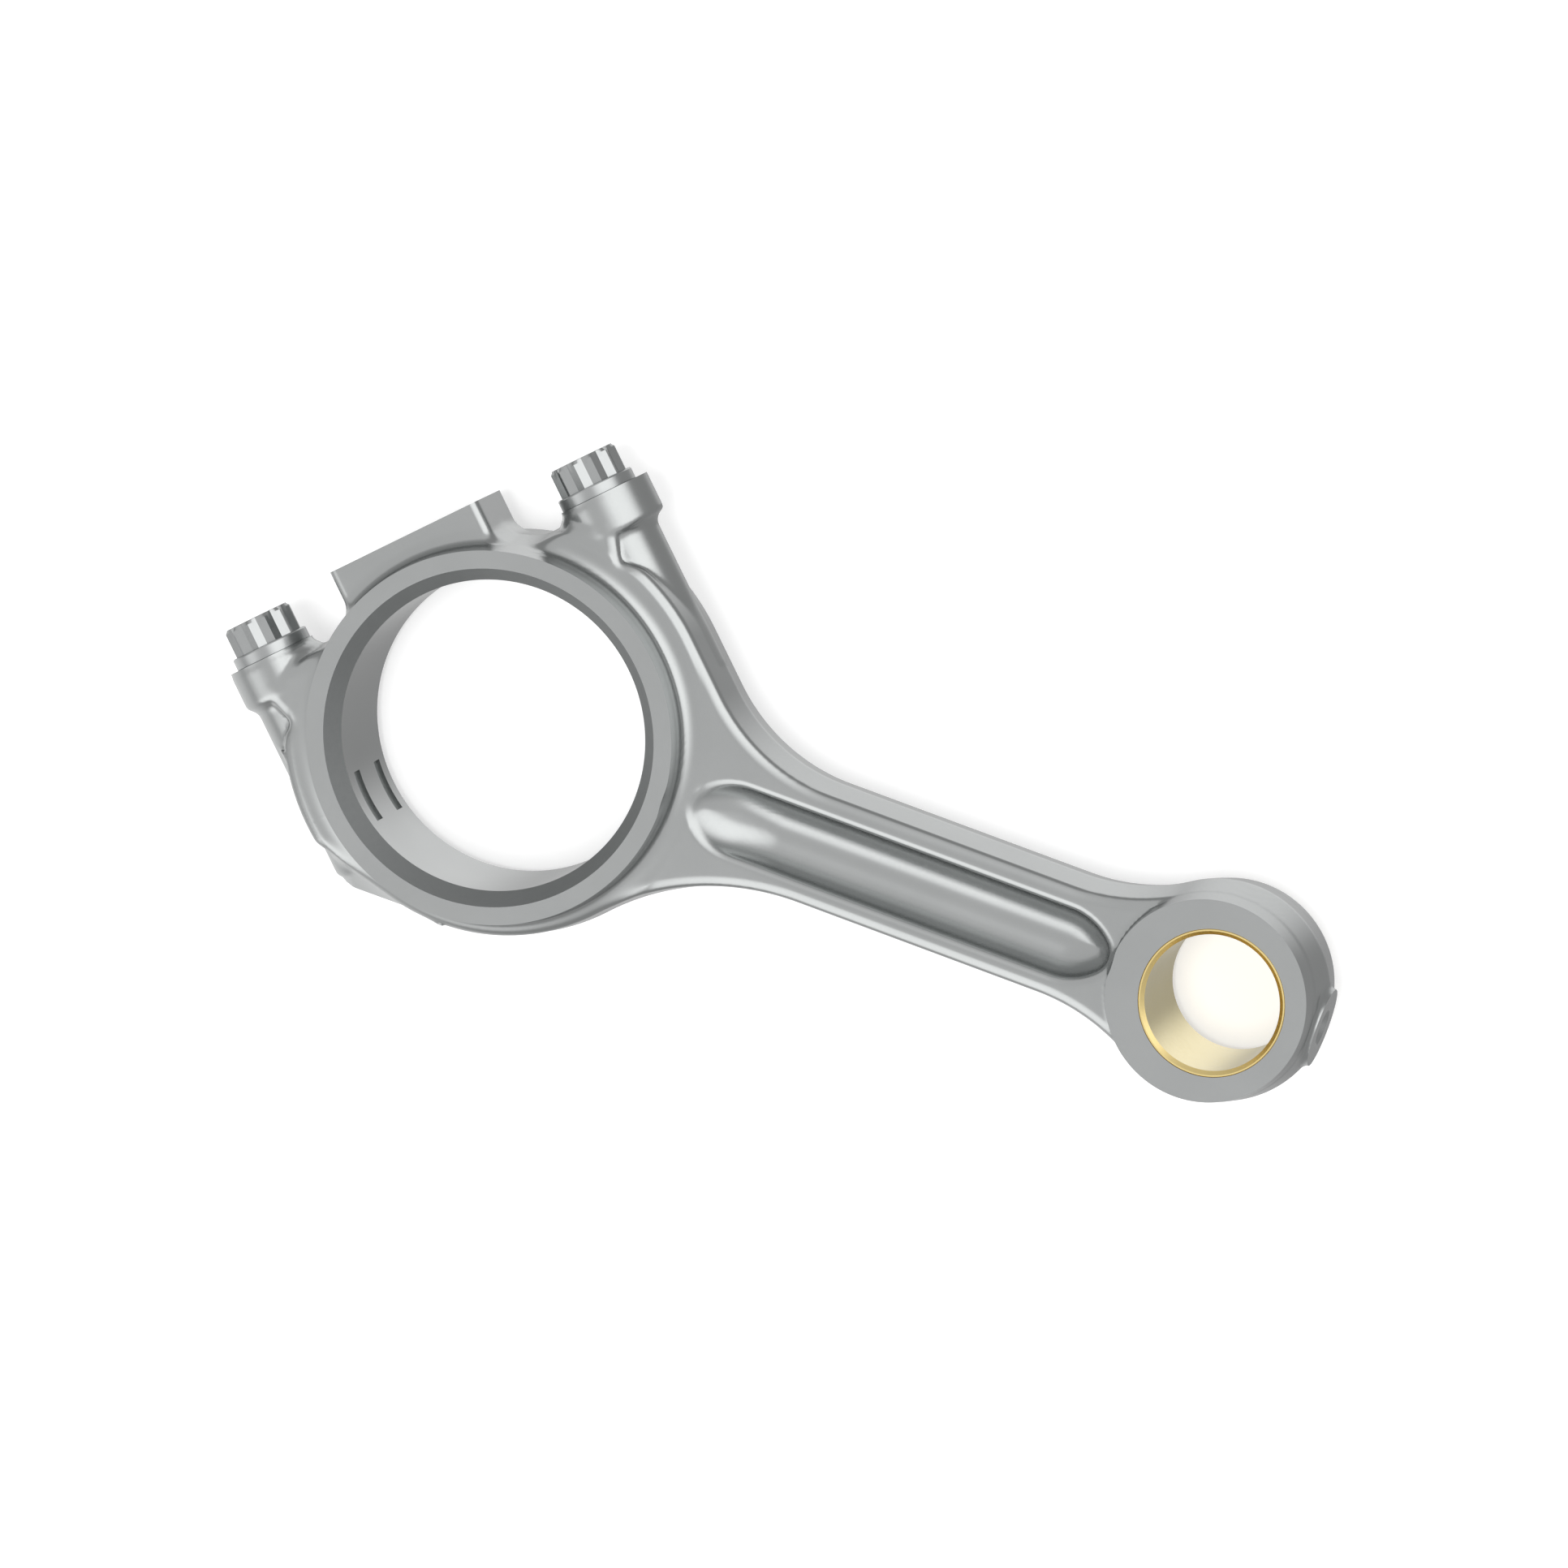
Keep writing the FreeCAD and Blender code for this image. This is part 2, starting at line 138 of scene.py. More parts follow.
def rod_outline():
    """The forging's outline at the height EDGE_Z, anticlockwise from the small end."""
    small_r = SMALL_FACE_R + (SMALL_MID_R - SMALL_FACE_R) * (1 - EDGE_Z / SMALL_Z)
    ny = SHANK_Y + SMALL_NECK_R
    nx = SMALL_X - math.sqrt((small_r + SMALL_NECK_R) ** 2 - ny ** 2)
    fi = math.degrees(math.atan2(ny, nx - SMALL_X))
    ux = BODY_R / S - (SHANK_Y + UPPER_R) + UPPER_R / S
    ly = SHANK_Y + LOWER_R
    lx = math.sqrt((BELLY_R + LOWER_R) ** 2 - ly ** 2)
    la = math.degrees(math.atan2(ly, lx))
    # the corner where the body turns in to the flatter belly
    cr, ca = 3.0, 229.2
    corner = polar((0, 0), BODY_R - cr, ca)
    swing = math.degrees(math.acos((BELLY_R - cr) / (BODY_R - cr)))
    # each boss corner: the body turns in a little, then hollows up towards the boss
    turn, nook, bend, shoulder = 8.0, 1.8, (20, 55), 2.6
    side = polar((0, 0), BODY_R - turn, bend[0])
    hollow = polar(side, turn + nook, bend[1])
    dx, dy = BOSS_SIDE_U - hollow[0], NECK_V - shoulder - hollow[1]
    lean = math.degrees(math.atan2(dy, dx) - math.acos(-(shoulder + nook) / math.hypot(dx, dy)))
    # the corner of each seat nearest the pad
    inner_u, inner_r = 22.0, 4.0
    return traced([
        ((SMALL_X, 0), small_r, -fi, fi),
        ((nx, ny), -SMALL_NECK_R, fi - 180, -90),
        ((ux, SHANK_Y + UPPER_R), -UPPER_R, -90, -135),
        ((0, 0), BODY_R, 45, 45 + bend[0]),
        (uv(*side), turn, 45 + bend[0], 45 + bend[1]),
        (uv(*hollow), -nook, 225 + bend[1], 225 + lean),
        (uv(BOSS_SIDE_U, NECK_V - shoulder), shoulder, 45 + lean, 135),
        (uv(inner_u, NECK_V - inner_r), inner_r, 135, 225),
        (uv(-inner_u, NECK_V - inner_r), inner_r, 45, 135),
        (uv(-BOSS_SIDE_U, NECK_V - shoulder), shoulder, 135, 225 - lean),
        (uv(-hollow[0], hollow[1]), -nook, 45 - lean, 45 - bend[1]),
        (uv(-side[0], side[1]), turn, 225 - bend[1], 225 - bend[0]),
        ((0, 0), BODY_R, 225 - bend[0], ca),
        (corner, cr, ca, ca + swing),
        ((0, 0), BELLY_R, ca + swing, 360 - la),
        ((lx, -ly), -LOWER_R, 180 - la, 90),
        ((nx, -ny), -SMALL_NECK_R, 90, 180 - fi),
    ])


def pocket_outline():
    """Opening of the I-section pocket: straight sides with a nose at each end."""
    def end(side, reach):
        """Arcs of one end, from its side radius and length as multiples of the half-width."""
        side, reach = side * POCKET_Y, reach * POCKET_Y
        b = side - POCKET_Y
        r = (side ** 2 - reach ** 2 - b ** 2) / (2 * (side - reach))
        return side, reach, r, math.degrees(math.atan2(b, reach - r))
    w, x0, x1 = POCKET_Y, POCKET_X0, POCKET_X1
    sl, al, lr, la = end(2.47, 1.70)
    sr, ar, rr, ra = end(1.70, 1.42)
    return traced([
        ((x1 - rr, 0), rr, -ra, ra), ((x1 - ar, w - sr), sr, ra, 90),
        ((x0 + al, w - sl), sl, 90, 180 - la), ((x0 + lr, 0), lr, 180 - la, 180 + la),
        ((x0 + al, sl - w), sl, 180 + la, 270), ((x1 - ar, sr - w), sr, 270, 360 - ra),
    ])


def outline_distance(poly, x, y):
    """Signed distance from each point to a closed polygon, negative inside."""
    shape = np.broadcast_shapes(x.shape, y.shape)
    best = np.full(shape, 1e9, np.float32)
    inside = np.zeros(shape, bool)
    for (ax, ay), (bx, by) in zip(poly, np.roll(poly, -1, axis=0)):
        dx, dy = bx - ax, by - ay
        span = dx * dx + dy * dy
        if span < 1e-9:
            continue
        t = np.clip(((x - ax) * dx + (y - ay) * dy) / span, 0, 1)
        best = np.minimum(best, (x - ax - t * dx) ** 2 + (y - ay - t * dy) ** 2)
        if ay != by:
            inside ^= ((ay > y) != (by > y)) & (x < ax + dx * (y - ay) / dy)
    d = np.sqrt(best)
    return np.where(inside, -d, d).astype(np.float32)


# ---------------------------------------------------------------- the forging as a field

def join(a, b, k):
    """Union of two fields with a concave fillet of radius k."""
    return np.maximum(k, np.minimum(a, b)) - np.hypot(np.maximum(k - a, 0), np.maximum(k - b, 0))


def meet(a, b, k):
    """Intersection of two fields with a rounded edge of radius k."""
    return np.minimum(-k, np.maximum(a, b)) + np.hypot(np.maximum(a + k, 0), np.maximum(b + k, 0))


def plate_field(d, z):
    """Drafted wall up to EDGE_Z, then the crowned rim and the flat top."""
    lean = DRAFT / EDGE_Z
    wall = (d - DRAFT + lean * z) / math.hypot(1, lean)
    t = np.maximum(d / CROWN + 1, 0)
    drop = PLATE_Z - EDGE_Z
    top = (z - PLATE_Z + drop * t * t) / np.sqrt(1 + (2 * drop * t / CROWN) ** 2)
    return meet(wall, top, RIM_ROUND)


def ring_field(r, z, d):
    """Thrust ring with its flared foot, which stays inside the plate's outline."""
    wall = np.maximum(r - RING_FOOT_R + RING_SLOPE * (z - RING_FOOT_Z), z - THRUST_Z - STOCK)
    flare = RING_FILLET_R - np.hypot(r - RING_FOOT_R - RING_FILLET_R, z - RING_FOOT_Z)
    flare = np.maximum(flare, np.maximum(r - RING_FOOT_R - RING_FILLET_R, z - RING_FOOT_Z))
    inset = 0.3
    return join(wall, meet(flare, d + inset, FOOT_ROUND), FOOT_FILLET)


def pocket_field(d, x, z):
    """What stays solid round the pocket: flange walls that sweep down to the web."""
    lip, lip_z = 0.75, 9.4
    wall = (-d - lip - POCKET_SLOPE * (lip_z - z)) / math.hypot(1, POCKET_SLOPE)
    # near the big end the floor climbs out of the pocket
    climb_x, climb_power, climb_most = 62, 1.6, 1.6
    shoal = np.clip((climb_x - x) / (climb_x - POCKET_X0), 0, climb_most)
    floor = z - WEB_Z - (PLATE_Z - WEB_Z) * shoal ** climb_power
    return join(floor, wall, POCKET_FILLET)


def boss_field(out, v, z, r, end):
    """Bolt boss: oval barrel under the seat, hollow step and slimmer column."""
    half = np.where(out > 0, r, BOSS_INNER_R)
    barrel = meet((np.hypot(out / half, z / PLATE_Z) - 1) * half, STEP_V - v, BARREL_ROUND)
    column = meet(np.hypot(out, z) - COLUMN_R, end - v, COLUMN_ROUND)
    column_top_v = 32
    column = np.maximum(column, v - column_top_v)
    return np.maximum(join(barrel, column, STEP_FILLET), v - SEAT_V - STOCK)


def ease(t):
    """Smooth step from 0 to 1."""
    t = np.clip(t, 0, 1)
    return t * t * (3 - 2 * t)


def toe_field(x, y, u, z):
    """Wedge of the forging under the lower bolt column, drafted more than the rest."""
    low, high = (ey + slope * (x - ex) for ex, ey, slope in (TOE_MID_EDGE, TOE_TOP_EDGE))
    wall = (low + (high - low) * z / EDGE_Z - y) * TOE_WALL_COS
    side = (TOE_SIDE_U - u + TOE_SIDE_SLOPE * z) * TOE_SIDE_COS
    inner_x, inner_y = 1, -20
    ends = np.maximum(z - EDGE_Z, np.maximum(x - inner_x, y - inner_y))
    return np.maximum(meet(wall, side, TOE_ROUND), ends)


def seat_fillet(out, v):
    """Fillet radius round a boss: small, but wide on the inner side just under the seat."""
    inner_out, inner_span, rise_v, rise_span = -3, 4, 29.5, 2.5
    inward = ease((inner_out - out) / inner_span)
    upward = ease((v - rise_v) / rise_span)
    return BOSS_FILLET + (NECK_FILLET - BOSS_FILLET) * inward * upward


def forging_field(x, y, z):
    """Field of the forging before machining, for arrays that broadcast together."""
    u, v = (x + y) * S, (y - x) * S
    r = np.hypot(x, y)
    d = outline_distance(rod_outline(), x, y)
    body = plate_field(d, z)
    body = join(body, toe_field(x, y, u, z), TOE_FILLET)
    pad = meet(np.abs(u) - PAD_U, z - PLATE_Z, PAD_ROUND)
    pad = np.maximum(pad, np.maximum(v - PAD_V - STOCK, PAD_FOOT_V - v))
    body = join(body, join(ring_field(r, z, d), pad, PAD_FILLET), RING_FILLET)
    for side, boss_r, end in ((1, UPPER_BOSS_R, UPPER_COLUMN_V), (-1, LOWER_BOSS_R, LOWER_COLUMN_V)):
        out = side * u - BOLT_U
        body = join(body, boss_field(out, v, z, boss_r, end), seat_fillet(out, v))
    small = np.hypot(x - SMALL_X, y) - SMALL_MID_R + SMALL_SLOPE * z
    small = np.maximum(small, z - SMALL_Z - STOCK)
    tip_foot_x = 165
    tip = np.maximum(np.hypot(y, z) - TIP_R, np.maximum(x - TIP_X - STOCK, tip_foot_x - x))
    body = join(body, join(small, tip, TIP_FILLET), SMALL_FILLET)
    # the pocket only matters along the shank
    shank_x, shank_half, solid = 90, 52, -9
    pocket = pocket_field(outline_distance(pocket_outline(), x, y), x, z)
    inside = np.where(np.abs(x - shank_x) < shank_half, pocket, solid)
    return meet(body, inside, POCKET_ROUND).astype(np.float32)


def forging_mesh(name):
    """Closed mesh of the whole forging: the field on half a grid, mirrored in z."""
    low, high, tall = (-63.0, -49.0), (185.0, 64.0), 20.5
    xs = np.arange(low[0], high[0], PITCH, np.float32)[:, None, None]
    ys = np.arange(low[1], high[1], PITCH, np.float32)[None, :, None]
    zs = (np.arange(int(tall / PITCH), dtype=np.float32)[None, None, :] + 0.5) * PITCH
    half = forging_field(xs, ys, zs)
    full = np.concatenate([half[:, :, ::-1], half], axis=2)
    outside, band = 5.0, 3
    grid = openvdb.FloatGrid(outside)
    grid.copyFromArray(np.ascontiguousarray(np.clip(full, -band, band)))
    points, quads = grid.convertToQuads(0.0)
    points = points * PITCH + np.array([low[0], low[1], -zs.max()])
    return mesh_object(name, points, quads[:, ::-1])


# ---------------------------------------------------------------- mesh helpers, in mm until placed

def mesh_object(name, points, faces):
    """New object in the scene from points and the corners of each face."""
    mesh = bpy.data.meshes.new(name)
    points, faces = np.asarray(points, np.float32), [list(map(int, f)) for f in faces]
    mesh.from_pydata(points.tolist(), [], faces)
    mesh.update()
    obj = bpy.data.objects.new(name, mesh)
    bpy.context.scene.collection.objects.link(obj)
    return obj


def lathe(name, profile, steps=192, matrix=Matrix.Identity(4)):
    """Closed solid of revolution about z from (radius, height) points, axis to axis."""
    points, faces, rows = [], [], []
    for r, h in profile:
        if r < 1e-6:
            rows.append([len(points)])
            points.append((0, 0, h))
            continue
        rows.append(list(range(len(points), len(points) + steps)))
        points += [polar((0, 0), r, 360 * (k + 0.5) / steps) + (h,) for k in range(steps)]
    for a, b in zip(rows, rows[1:]):
        for k in range(steps):
            quad = [a[k % len(a)], a[(k + 1) % len(a)], b[(k + 1) % len(b)], b[k % len(b)]]
            quad = list(dict.fromkeys(quad))
            if len(quad) > 2:
                faces.append(quad)
    obj = mesh_object(name, points, faces)
    obj.data.transform(matrix)
    return face_out(obj)


def face_out(obj):
    """Turns the faces outward if the closed mesh is inside out."""
    mesh = obj.data
    mesh.calc_loop_triangles()
    co = np.empty(len(mesh.vertices) * 3, np.float32)
    mesh.vertices.foreach_get("co", co)
    tri = np.empty(len(mesh.loop_triangles) * 3, np.int32)
    mesh.loop_triangles.foreach_get("vertices", tri)
    a, b, c = co.reshape(-1, 3)[tri.reshape(-1, 3)].transpose(1, 0, 2)
    if np.einsum("ij,ij->i", a, np.cross(b, c)).sum() < 0:
        mesh.flip_normals()
    return obj


def box(name, low, high, matrix=Matrix.Identity(4)):
    """Closed block between two corners."""
    x0, y0, z0 = low
    x1, y1, z1 = high
    pts = [(x, y, z) for z in (z0, z1) for x, y in ((x0, y0), (x1, y0), (x1, y1), (x0, y1))]
    faces = [(0, 3, 2, 1), (4, 5, 6, 7), (0, 1, 5, 4), (1, 2, 6, 5), (2, 3, 7, 6), (3, 0, 4, 7)]
    obj = mesh_object(name, pts, faces)
    obj.data.transform(matrix)
    return obj


def carve(obj, tools, operation="DIFFERENCE"):
    """Cuts obj by each closed tool and throws the tools away."""
    for tool in tools:
        mod = obj.modifiers.new("carve", "BOOLEAN")
        mod.operation = operation
        mod.solver = "MANIFOLD"
        mod.object = tool
        done = bpy.data.meshes.new_from_object(obj.evaluated_get(bpy.context.evaluated_depsgraph_get()))
        obj.modifiers.clear()
        done.materials.clear()
        old, obj.data = obj.data, done
        bpy.data.meshes.remove(old)
        bpy.data.objects.remove(tool)
    return obj


def along_bolt(u):
    """Placement that turns a lathe's z axis along v, on the bolt axis at u."""
    return TO_SPLIT @ Matrix.Translation((u, 0, 0)) @ Matrix.Rotation(math.radians(-90), 4, "X")


def facing(radius, face, above, matrix=Matrix.Identity(4)):
    """Cutter that faces a round end flat at the height face."""
    return lathe("cut", [(0, face), (radius, face), (radius, above), (0, above)], matrix=matrix)


def bore_cutter():
    """Big-end bore with its two long chamfers, drawn on past the thrust faces."""
    slope = 0.71
    flare, end = BORE_CHAMFER_R + slope * PAST, THRUST_Z + PAST
    return lathe("cut", [(0, -end), (flare, -end), (BORE_R, -BORE_STRAIGHT),
                         (BORE_R, BORE_STRAIGHT), (flare, end), (0, end)], 320)


def oil_cutter():
    """Oil hole along x in the small end's tip, with its countersunk mouth."""
    inner_x, past = 150, 0.6
    sunk_x, mouth_x = TIP_X - TIP_SINK_R + OIL_R, TIP_X + past
    profile = [(0, inner_x), (OIL_R, inner_x), (OIL_R, sunk_x),
               (TIP_SINK_R + past, mouth_x), (0, mouth_x)]
    return lathe("cut", profile, 64, Matrix.Rotation(math.radians(90), 4, "Y"))


def bolt_hole(u):
    """Tapped hole in the rod that opens to the clearance hole at the split."""
    step_v, end_v = 0.01, 50
    profile = [(0, HOLE_V), (TAPPED_R, HOLE_V), (TAPPED_R, step_v), (CLEAR_R, step_v),
               (CLEAR_R, end_v), (0, end_v)]
    return lathe("cut", profile, 96, along_bolt(u))


def tang_slot(z):
    """Curved slot in the bore across the split, for a bearing shell's tang."""
    deep = BORE_R + TANG_DEPTH
    low, high = z - TANG_HALF_WIDTH, z + TANG_HALF_WIDTH
    disc = lathe("cut", [(0, low), (deep, low), (deep, high), (0, high)], 320)
    outer_u, inner_u, tall = -40, -25, 20
    length = box("cut", (outer_u, -TANG_HALF_LEN, -tall), (inner_u, TANG_HALF_LEN, tall), TO_SPLIT)
    return carve(disc, [length], "INTERSECT")


def machine(obj):
    """Every cut the machine shop makes in the forging."""
    flip = Matrix.Diagonal((1, 1, -1, 1))
    at_small = Matrix.Translation((SMALL_X, 0, 0))
    ring, small, seat_half, pad_half = RING_R + 2, SMALL_FACE_R + 2, 16, PAD_U + 5
    tip_half, tip_end = 20, 190
    tools = [
        facing(ring, THRUST_Z, ABOVE),
        facing(ring, THRUST_Z, ABOVE, flip),
        facing(small, SMALL_Z, SMALL_ABOVE, at_small),
        facing(small, SMALL_Z, SMALL_ABOVE, flip @ at_small),
        box("cut", (-BEYOND, SEAT_V, -ABOVE), (seat_half - BOLT_U, BEYOND, ABOVE), TO_SPLIT),
        box("cut", (BOLT_U - seat_half, SEAT_V, -ABOVE), (BEYOND, BEYOND, ABOVE), TO_SPLIT),
        box("cut", (-pad_half, PAD_V, -ABOVE), (pad_half, BEYOND, ABOVE), TO_SPLIT),
        box("cut", (TIP_X, -tip_half, -ABOVE), (tip_end, tip_half, ABOVE)),
        bore_cutter(),
        lathe("cut", [(0, -THROUGH), (BUSH_R, -THROUGH), (BUSH_R, THROUGH), (0, THROUGH)],
              matrix=Matrix.Translation((CENTRES, 0, 0))),
        oil_cutter(),
    ]
    tools += [tang_slot(z) for z in TANG_Z]
    tools += [bolt_hole(side * BOLT_U) for side in (-1, 1)]
    return carve(obj, tools)


# ---------------------------------------------------------------- bolts and bush

def thread_rows(angle):
    """Rings of the helical thread, from the tapered tip to where it runs out."""
    rows = []
    last_v, fade_v, cuts_per_turn = 3.6, 1.0, 12
    for v in np.arange(TIP_V + 0.1, last_v, THREAD_PITCH / cuts_per_turn):
        turn = (v / THREAD_PITCH - angle / (2 * math.pi)) % 1.0
        groove = THREAD_DEPTH * np.clip(1.25 - 2.5 * np.abs(turn - 0.5), 0, 1)
        fade = min(1.0, max(0.0, (THREAD_END_V - v) / fade_v))
        crest = np.minimum(THREAD_R, THREAD_R - TIP_TAPER + (v - TIP_V))
        rows.append((v, np.minimum(crest, THREAD_R - groove * fade)))
    return rows


def stem_profile():
    """Height and radius up the necked stem, its land and the flange."""
    land, under, top = THREAD_R - 0.05, SEAT_V - 0.02, SEAT_V + FLANGE_H
    return [
        (3.8, THREAD_R), (4.5, STEM_R + 0.1), (5.0, STEM_R),
        (SEAT_V - 4, STEM_R), (SEAT_V - 3, land), (SEAT_V - 0.8, land),
        (under, FLANGE_R - 0.3), (under, FLANGE_R - 0.12), (SEAT_V + 0.1, FLANGE_R),
        (top - 0.35, FLANGE_R), (top - 0.1, FLANGE_R - 0.12), (top, FLANGE_R - 0.4),
    ]


def head_rows(angle):
    """Rings of the twelve-point head, from the flange to its dished top."""
    top, half = SEAT_V + FLANGE_H, math.radians(30)
    # the farther flat of the two hexagons gives the twelve-point outline
    star = [HEAD_FLAT / np.cos((angle + o) % (2 * half) - half) for o in (half, 0)]
    star = np.stack(star).max(axis=0)
    foot = HEAD_FLAT / math.cos(math.radians(15))
    crown = HEAD_FLAT / math.cos(half)
    rows = [(top + 0.02, np.minimum(star, foot + 0.9))]
    rows += [(top + h, np.minimum(star, crown)) for h in (0.3, 2.0, 4.0, HEAD_H - 0.75)]
    rows.append((top + HEAD_H - 0.08, np.minimum(star, crown - 0.65)))
    rows.append((top + HEAD_H, np.minimum(star, crown - 0.75) * 0.985))
    return rows


def bolt_mesh(name, axis_u):
    """Twelve-point flange bolt turned as one skin whose radius depends on angle and height."""
    steps = 240
    angle = np.radians(np.arange(steps) * 360 / steps)
    plain = np.ones(steps)
    crown_v = SEAT_V + FLANGE_H + HEAD_H
    rows = [(TIP_V, plain * (THREAD_R - TIP_TAPER))] + thread_rows(angle)
    rows += [(v, plain * r) for v, r in stem_profile()]
    rows += head_rows(angle)
    rows += [(v, plain * r) for v, r in ((crown_v, 4.6), (crown_v - HEAD_DISH, 4.2))]
    points = [(0, 0, TIP_V)]
    for v, r in rows:
        points += list(zip(r * np.cos(angle), r * np.sin(angle), [v] * steps))
    points.append((0, 0, crown_v - HEAD_DISH))
    faces = []
    for i in range(len(rows) - 1):
        low, high = 1 + i * steps, 1 + (i + 1) * steps
        for k in range(steps):
            turn = (k + 1) % steps
            faces.append((low + k, low + turn, high + turn, high + k))
    last = len(points) - 1
    faces += [(0, 1 + (k + 1) % steps, 1 + k) for k in range(steps)]
    faces += [(last, last - steps + k, last - steps + (k + 1) % steps) for k in range(steps)]
    obj = mesh_object(name, points, faces)
    obj.data.transform(along_bolt(axis_u))
    return face_out(obj)


def bush_mesh(name):
    """Bush with broken outer edges, chamfered bore and oil hole."""
    fit = 0.02
    outer, inner, edge, end = BUSH_R - fit, BUSH_BORE_R, BUSH_EDGE, SMALL_Z + PAST
    straight, flare = SMALL_Z - BUSH_CHAMFER, BUSH_BORE_R + BUSH_CHAMFER + PAST
    tube = lathe(name, [(0, -SMALL_Z), (outer - edge, -SMALL_Z), (outer, edge - SMALL_Z),
                        (outer, SMALL_Z - edge), (outer - edge, SMALL_Z), (0, SMALL_Z)], 256)
    bore = lathe("cut", [(0, -end), (flare, -end), (inner, -straight),
                         (inner, straight), (flare, end), (0, end)], 256)
    tube = carve(tube, [bore])
    tube.data.transform(Matrix.Translation((CENTRES, 0, 0)))
    start_x, end_x = 165, 185
    hole = lathe("cut", [(0, start_x), (OIL_R, start_x), (OIL_R, end_x), (0, end_x)], 48,
                 Matrix.Rotation(math.radians(90), 4, "Y"))
    return carve(tube, [hole])


# ---------------------------------------------------------------- materials

def material(name, colour, rough, metallic=1.0):
    """Plain material with its node tree and shader."""
    mat = bpy.data.materials.new(name)
    mat.use_nodes = True
    shader = mat.node_tree.nodes["Principled BSDF"]
    shader.inputs["Base Color"].default_value = (*colour, 1)
    shader.inputs["Metallic"].default_value = metallic
    shader.inputs["Roughness"].default_value = rough
    return mat, mat.node_tree, shader


def noise(tree, coords, scale, detail=3.0, stretch=None):
    """Noise over the object's own coordinates, with an optional stretch."""
    node = tree.nodes.new("ShaderNodeTexNoise")
    node.inputs["Scale"].default_value = scale
    node.inputs["Detail"].default_value = detail
    if stretch:
        mapping = tree.nodes.new("ShaderNodeMapping")
        mapping.inputs["Scale"].default_value = stretch
        tree.links.new(coords, mapping.inputs["Vector"])
        coords = mapping.outputs["Vector"]
    tree.links.new(coords, node.inputs["Vector"])
    return node.outputs["Fac"]


def ramped(tree, value, low, high):
    """value from 0.3 to 0.7 mapped to low to high, numbers or colours."""
    start, stop = 0.3, 0.7
    if isinstance(low, (int, float)):
        node = tree.nodes.new("ShaderNodeMapRange")
        node.inputs["From Min"].default_value = start
        node.inputs["From Max"].default_value = stop
        node.inputs["To Min"].default_value = low
        node.inputs["To Max"].default_value = high
        tree.links.new(value, node.inputs["Value"])
        return node.outputs["Result"]
    node = tree.nodes.new("ShaderNodeValToRGB")
    node.color_ramp.elements[0].position = start
    node.color_ramp.elements[0].color = (*low, 1)
    node.color_ramp.elements[1].position = stop
    node.color_ramp.elements[1].color = (*high, 1)
    tree.links.new(value, node.inputs["Fac"])
    return node.outputs["Color"]


def bump(tree, shader, height, distance):
    """Fine relief from a height, distance metres deep."""
    node = tree.nodes.new("ShaderNodeBump")
    node.inputs["Strength"].default_value = 1.0
    node.inputs["Distance"].default_value = distance
    tree.links.new(height, node.inputs["Height"])
    tree.links.new(node.outputs["Normal"], shader.inputs["Normal"])


def textured(name, colours, rough, grain, depth=0, stretch=None):
    """Metal whose colour, roughness and fine relief vary over its surface."""
    mat, tree, shader = material(name, colours[0], rough[0])
    coords = tree.nodes.new("ShaderNodeTexCoord").outputs["Object"]
    cloud_scale, fine_detail = 55.0, 2.0
    cloud = noise(tree, coords, cloud_scale)
    tree.links.new(ramped(tree, cloud, *colours), shader.inputs["Base Color"])
    fine = noise(tree, coords, grain, fine_detail, stretch)
    tree.links.new(ramped(tree, fine, *rough), shader.inputs["Roughness"])
    if depth:
        bump(tree, shader, fine, depth)
    return mat


# the darkest and the lightest colour of each metal
STEEL = (0.430, 0.442, 0.440), (0.455, 0.467, 0.465)
BOLT_STEEL = (0.435, 0.447, 0.447), (0.455, 0.467, 0.467)
# the chamfers' steel is a darker copy of the steel: painted shade on the bore's chamfers
SHADED_CHAMFER_STEEL = (0.30, 0.31, 0.31), (0.32, 0.33, 0.33)
FRACTURE_STEEL = (0.20, 0.20, 0.20), (0.34, 0.34, 0.33)
BRONZE = (0.93, 0.73, 0.32), (0.96, 0.77, 0.36)
BORE_BRONZE = (0.86, 0.74, 0.40), (0.90, 0.78, 0.44)

# the forging's material slots, in order
FORGED, FACED, BORED, BROKEN, SHADED_CHAMFER = range(5)


def forging_materials():
    """As forged, milled flat, bored round and fractured steel, and rough chamfer steel darkened as
    painted shade.
    """
    return [
        textured("forged_steel", STEEL, (0.22, 0.26), 1600.0),
        textured("faced_steel", STEEL, (0.24, 0.27), 900.0),
        textured("bored_steel", STEEL, (0.21, 0.25), 700.0, stretch=(1, 1, 9)),
        textured("fractured_steel", FRACTURE_STEEL, (0.5, 0.7), 900.0, depth=0.00012),
        # rougher chamfer finish, with the darker colour as painted shade
        textured("chamfer_steel_painted_shade", SHADED_CHAMFER_STEEL, (0.60, 0.66), 700.0),
    ]


def bolt_material():
    """Clean bolt steel, a little brighter than the forging."""
    return textured("bolt_steel", BOLT_STEEL, (0.23, 0.26), 1200.0)


def bush_materials():
    """Golden turned ends and chamfers, and a paler reamed bore."""
    return [
        textured("bush_bronze", BRONZE, (0.20, 0.24), 900.0),
        textured("bush_bore_bronze", BORE_BRONZE, (0.20, 0.26), 700.0),
    ]


# ---------------------------------------------------------------- assembly

